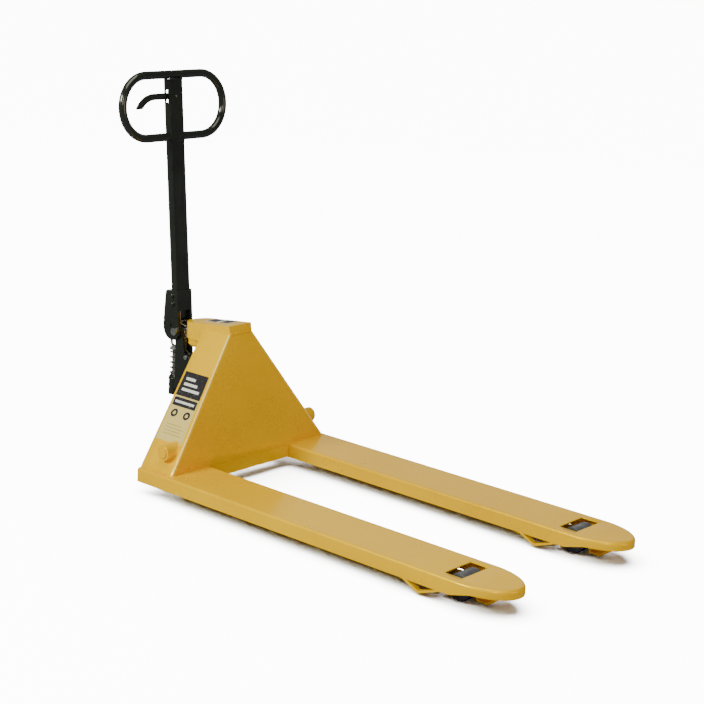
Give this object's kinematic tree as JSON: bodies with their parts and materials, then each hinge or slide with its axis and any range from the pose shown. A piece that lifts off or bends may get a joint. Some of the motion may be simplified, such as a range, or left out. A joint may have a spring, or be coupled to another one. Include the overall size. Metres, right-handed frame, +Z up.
{
  "type": "pallet jack",
  "caption": "Hand pallet jack: fork frame lifted by a hydraulic pump, swung down roller yokes and push rods, steered by a tiller with a closed grip loop and finger release.",
  "frame": {"origin": "centre of the footprint of the whole jack, on the floor, forks lowered and tiller upright", "axes": "+X along the forks towards their tips, +Y to the left of somebody who pulls the jack by the tiller and looks at the tips, +Z up"},
  "size_m": [1.599, 0.686, 1.201],
  "materials": {
    "yellow_paint": "gloss",
    "black_paint": "satin gloss",
    "bright_steel": "plated, worn",
    "dark_steel": "oiled",
    "wheel_hub": "satin",
    "roller_plastic": "satin",
    "tyre_rubber": "matte"
  },
  "bodies": {
    "collar": {"thrust_collar": "dark_steel"},
    "frame": {"fork_left": "yellow_paint", "fork_right": "yellow_paint", "fork_ribs_left": "yellow_paint", "fork_ribs_right": "yellow_paint", "front_panel": "yellow_paint", "side_flange_left": "yellow_paint", "side_flange_right": "yellow_paint", "cross_beam": "yellow_paint", "head_block": "yellow_paint", "exit_ramps_left": "yellow_paint", "exit_ramps_right": "yellow_paint", "nose_skid_left": "yellow_paint", "nose_skid_right": "yellow_paint", "yoke_brackets_left": "yellow_paint", "yoke_brackets_right": "yellow_paint", "yoke_pivot_left": "bright_steel", "yoke_pivot_right": "bright_steel", "rocker_shaft": "yellow_paint", "shaft_boss_left": "yellow_paint", "shaft_boss_right": "yellow_paint"},
    "rocker": {"rocker": "yellow_paint", "rod_pin_left": "bright_steel", "rod_pin_right": "bright_steel"},
    "push_rod_left": {"push_rod_left": "dark_steel"},
    "push_rod_right": {"push_rod_right": "dark_steel"},
    "yoke_left": {"yoke_left": "yellow_paint", "yoke_rod_pin_left": "bright_steel", "roller_axle_left": "bright_steel"},
    "yoke_right": {"yoke_right": "yellow_paint", "yoke_rod_pin_right": "bright_steel", "roller_axle_right": "bright_steel"},
    "load_roller_left": {"load_roller_left": "roller_plastic"},
    "load_roller_right": {"load_roller_right": "roller_plastic"},
    "pump_unit": {"pump_body": "black_paint", "gland_nut": "bright_steel", "axle": "bright_steel", "axle_rings": "bright_steel", "valve_screw": "bright_steel", "plunger_spring": "dark_steel"},
    "ram": {"ram": "bright_steel"},
    "steer_wheel_left": {"wheel_hub_left": "wheel_hub", "wheel_tyre_left": "tyre_rubber"},
    "steer_wheel_right": {"wheel_hub_right": "wheel_hub", "wheel_tyre_right": "tyre_rubber"},
    "tiller": {"handle_socket": "black_paint", "handle_pivot_pin": "bright_steel", "cam_roller": "bright_steel", "cam_roller_pin": "black_paint", "handle_post": "black_paint", "grip_loop": "black_paint", "socket_bolts": "black_paint", "lever_pin": "bright_steel"},
    "release_lever": {"release_lever": "black_paint"},
    "release_rod": {"release_rod": "bright_steel"},
    "release_chain": {"release_chain": "bright_steel"},
    "valve_lever": {"valve_lever": "bright_steel"},
    "plunger": {"plunger": "bright_steel"}
  },
  "joints": [
    {"name": "lift", "type": "slide", "parent": "collar", "child": "frame", "axis": [0, 0, 1], "range_m": [0, 0.12]},
    {"name": "steering", "type": "hinge", "parent": "collar", "child": "pump_unit", "pos_m": [-0.63049, 0, 0.168], "axis": [0, 0, 1], "range_deg": [-90, 90]},
    {"name": "ram_stroke", "type": "slide", "parent": "pump_unit", "child": "ram", "axis": [0, 0, 1], "range_m": [0, 0.1201]},
    {"name": "rocker_turn", "type": "hinge", "parent": "frame", "child": "rocker", "pos_m": [-0.45249, 0, 0.134], "axis": [0, -1, 0], "range_deg": [0, 38.08]},
    {"name": "rod_swing_left", "type": "hinge", "parent": "rocker", "child": "push_rod_left", "pos_m": [-0.46291, 0.2565, 0.10378], "axis": [0, 1, 0], "range_deg": [0, 38.08]},
    {"name": "yoke_turn_left", "type": "hinge", "parent": "frame", "child": "yoke_left", "pos_m": [0.45486, 0.2565, 0.026], "axis": [0, 1, 0], "range_deg": [0, 42.15]},
    {"name": "load_roller_spin_left", "type": "hinge", "parent": "yoke_left", "child": "load_roller_left", "pos_m": [0.62951, 0.2565, 0.037], "axis": [0, 1, 0], "continuous": true},
    {"name": "rod_swing_right", "type": "hinge", "parent": "rocker", "child": "push_rod_right", "pos_m": [-0.46291, -0.2565, 0.10378], "axis": [0, 1, 0], "range_deg": [0, 38.08]},
    {"name": "yoke_turn_right", "type": "hinge", "parent": "frame", "child": "yoke_right", "pos_m": [0.45486, -0.2565, 0.026], "axis": [0, 1, 0], "range_deg": [0, 42.15]},
    {"name": "load_roller_spin_right", "type": "hinge", "parent": "yoke_right", "child": "load_roller_right", "pos_m": [0.62951, -0.2565, 0.037], "axis": [0, 1, 0], "continuous": true},
    {"name": "wheel_spin_left", "type": "hinge", "parent": "pump_unit", "child": "steer_wheel_left", "pos_m": [-0.63049, 0.051, 0.08], "axis": [0, 1, 0], "continuous": true},
    {"name": "wheel_spin_right", "type": "hinge", "parent": "pump_unit", "child": "steer_wheel_right", "pos_m": [-0.63049, -0.051, 0.08], "axis": [0, 1, 0], "continuous": true},
    {"name": "tiller_tilt", "type": "hinge", "parent": "pump_unit", "child": "tiller", "pos_m": [-0.71709, 0, 0.405], "axis": [0, -1, 0], "range_deg": [0, 72], "stiffness_Nm_per_rad": 30, "springref_deg": -17.19},
    {"name": "plunger_stroke", "type": "slide", "parent": "pump_unit", "child": "plunger", "axis": [0, 0, -1], "range_m": [0, 0.0377], "deforming": ["plunger_spring"]},
    {"name": "release_squeeze", "type": "hinge", "parent": "tiller", "child": "release_lever", "pos_m": [-0.78127, 0, 1.12414], "axis": [-0.996, 0, -0.0889], "range_deg": [0, 12], "stiffness_Nm_per_rad": 1, "springref_deg": -22.92},
    {"name": "release_pull", "type": "slide", "parent": "tiller", "child": "release_rod", "axis": [-0.0889, 0, 0.996], "range_m": [0, 0.00252]},
    {"name": "chain_pull", "type": "slide", "parent": "pump_unit", "child": "release_chain", "axis": [0, 0, 1], "range_m": [0, 0.00252]},
    {"name": "valve_turn", "type": "hinge", "parent": "pump_unit", "child": "valve_lever", "pos_m": [-0.67649, 0, 0.328], "axis": [0, 1, 0], "range_deg": [0, 5.8]}
  ],
  "couplings": [
    {"joint": "ram_stroke", "follows": "lift", "ratio": 1},
    {"joint": "rocker_turn", "follows": "lift", "rad_per_m": 5.536},
    {"joint": "rod_swing_left", "follows": "lift", "rad_per_m": 5.536},
    {"joint": "yoke_turn_left", "follows": "lift", "rad_per_m": 6.1274},
    {"joint": "rod_swing_right", "follows": "lift", "rad_per_m": 5.536},
    {"joint": "yoke_turn_right", "follows": "lift", "rad_per_m": 6.1274},
    {"joint": "plunger_stroke", "follows": "tiller_tilt", "m_per_rad": 0.029936},
    {"joint": "release_pull", "follows": "release_squeeze", "m_per_rad": 0.012},
    {"joint": "chain_pull", "follows": "release_squeeze", "m_per_rad": 0.012},
    {"joint": "valve_turn", "follows": "release_squeeze", "ratio": 0.48}
  ]
}
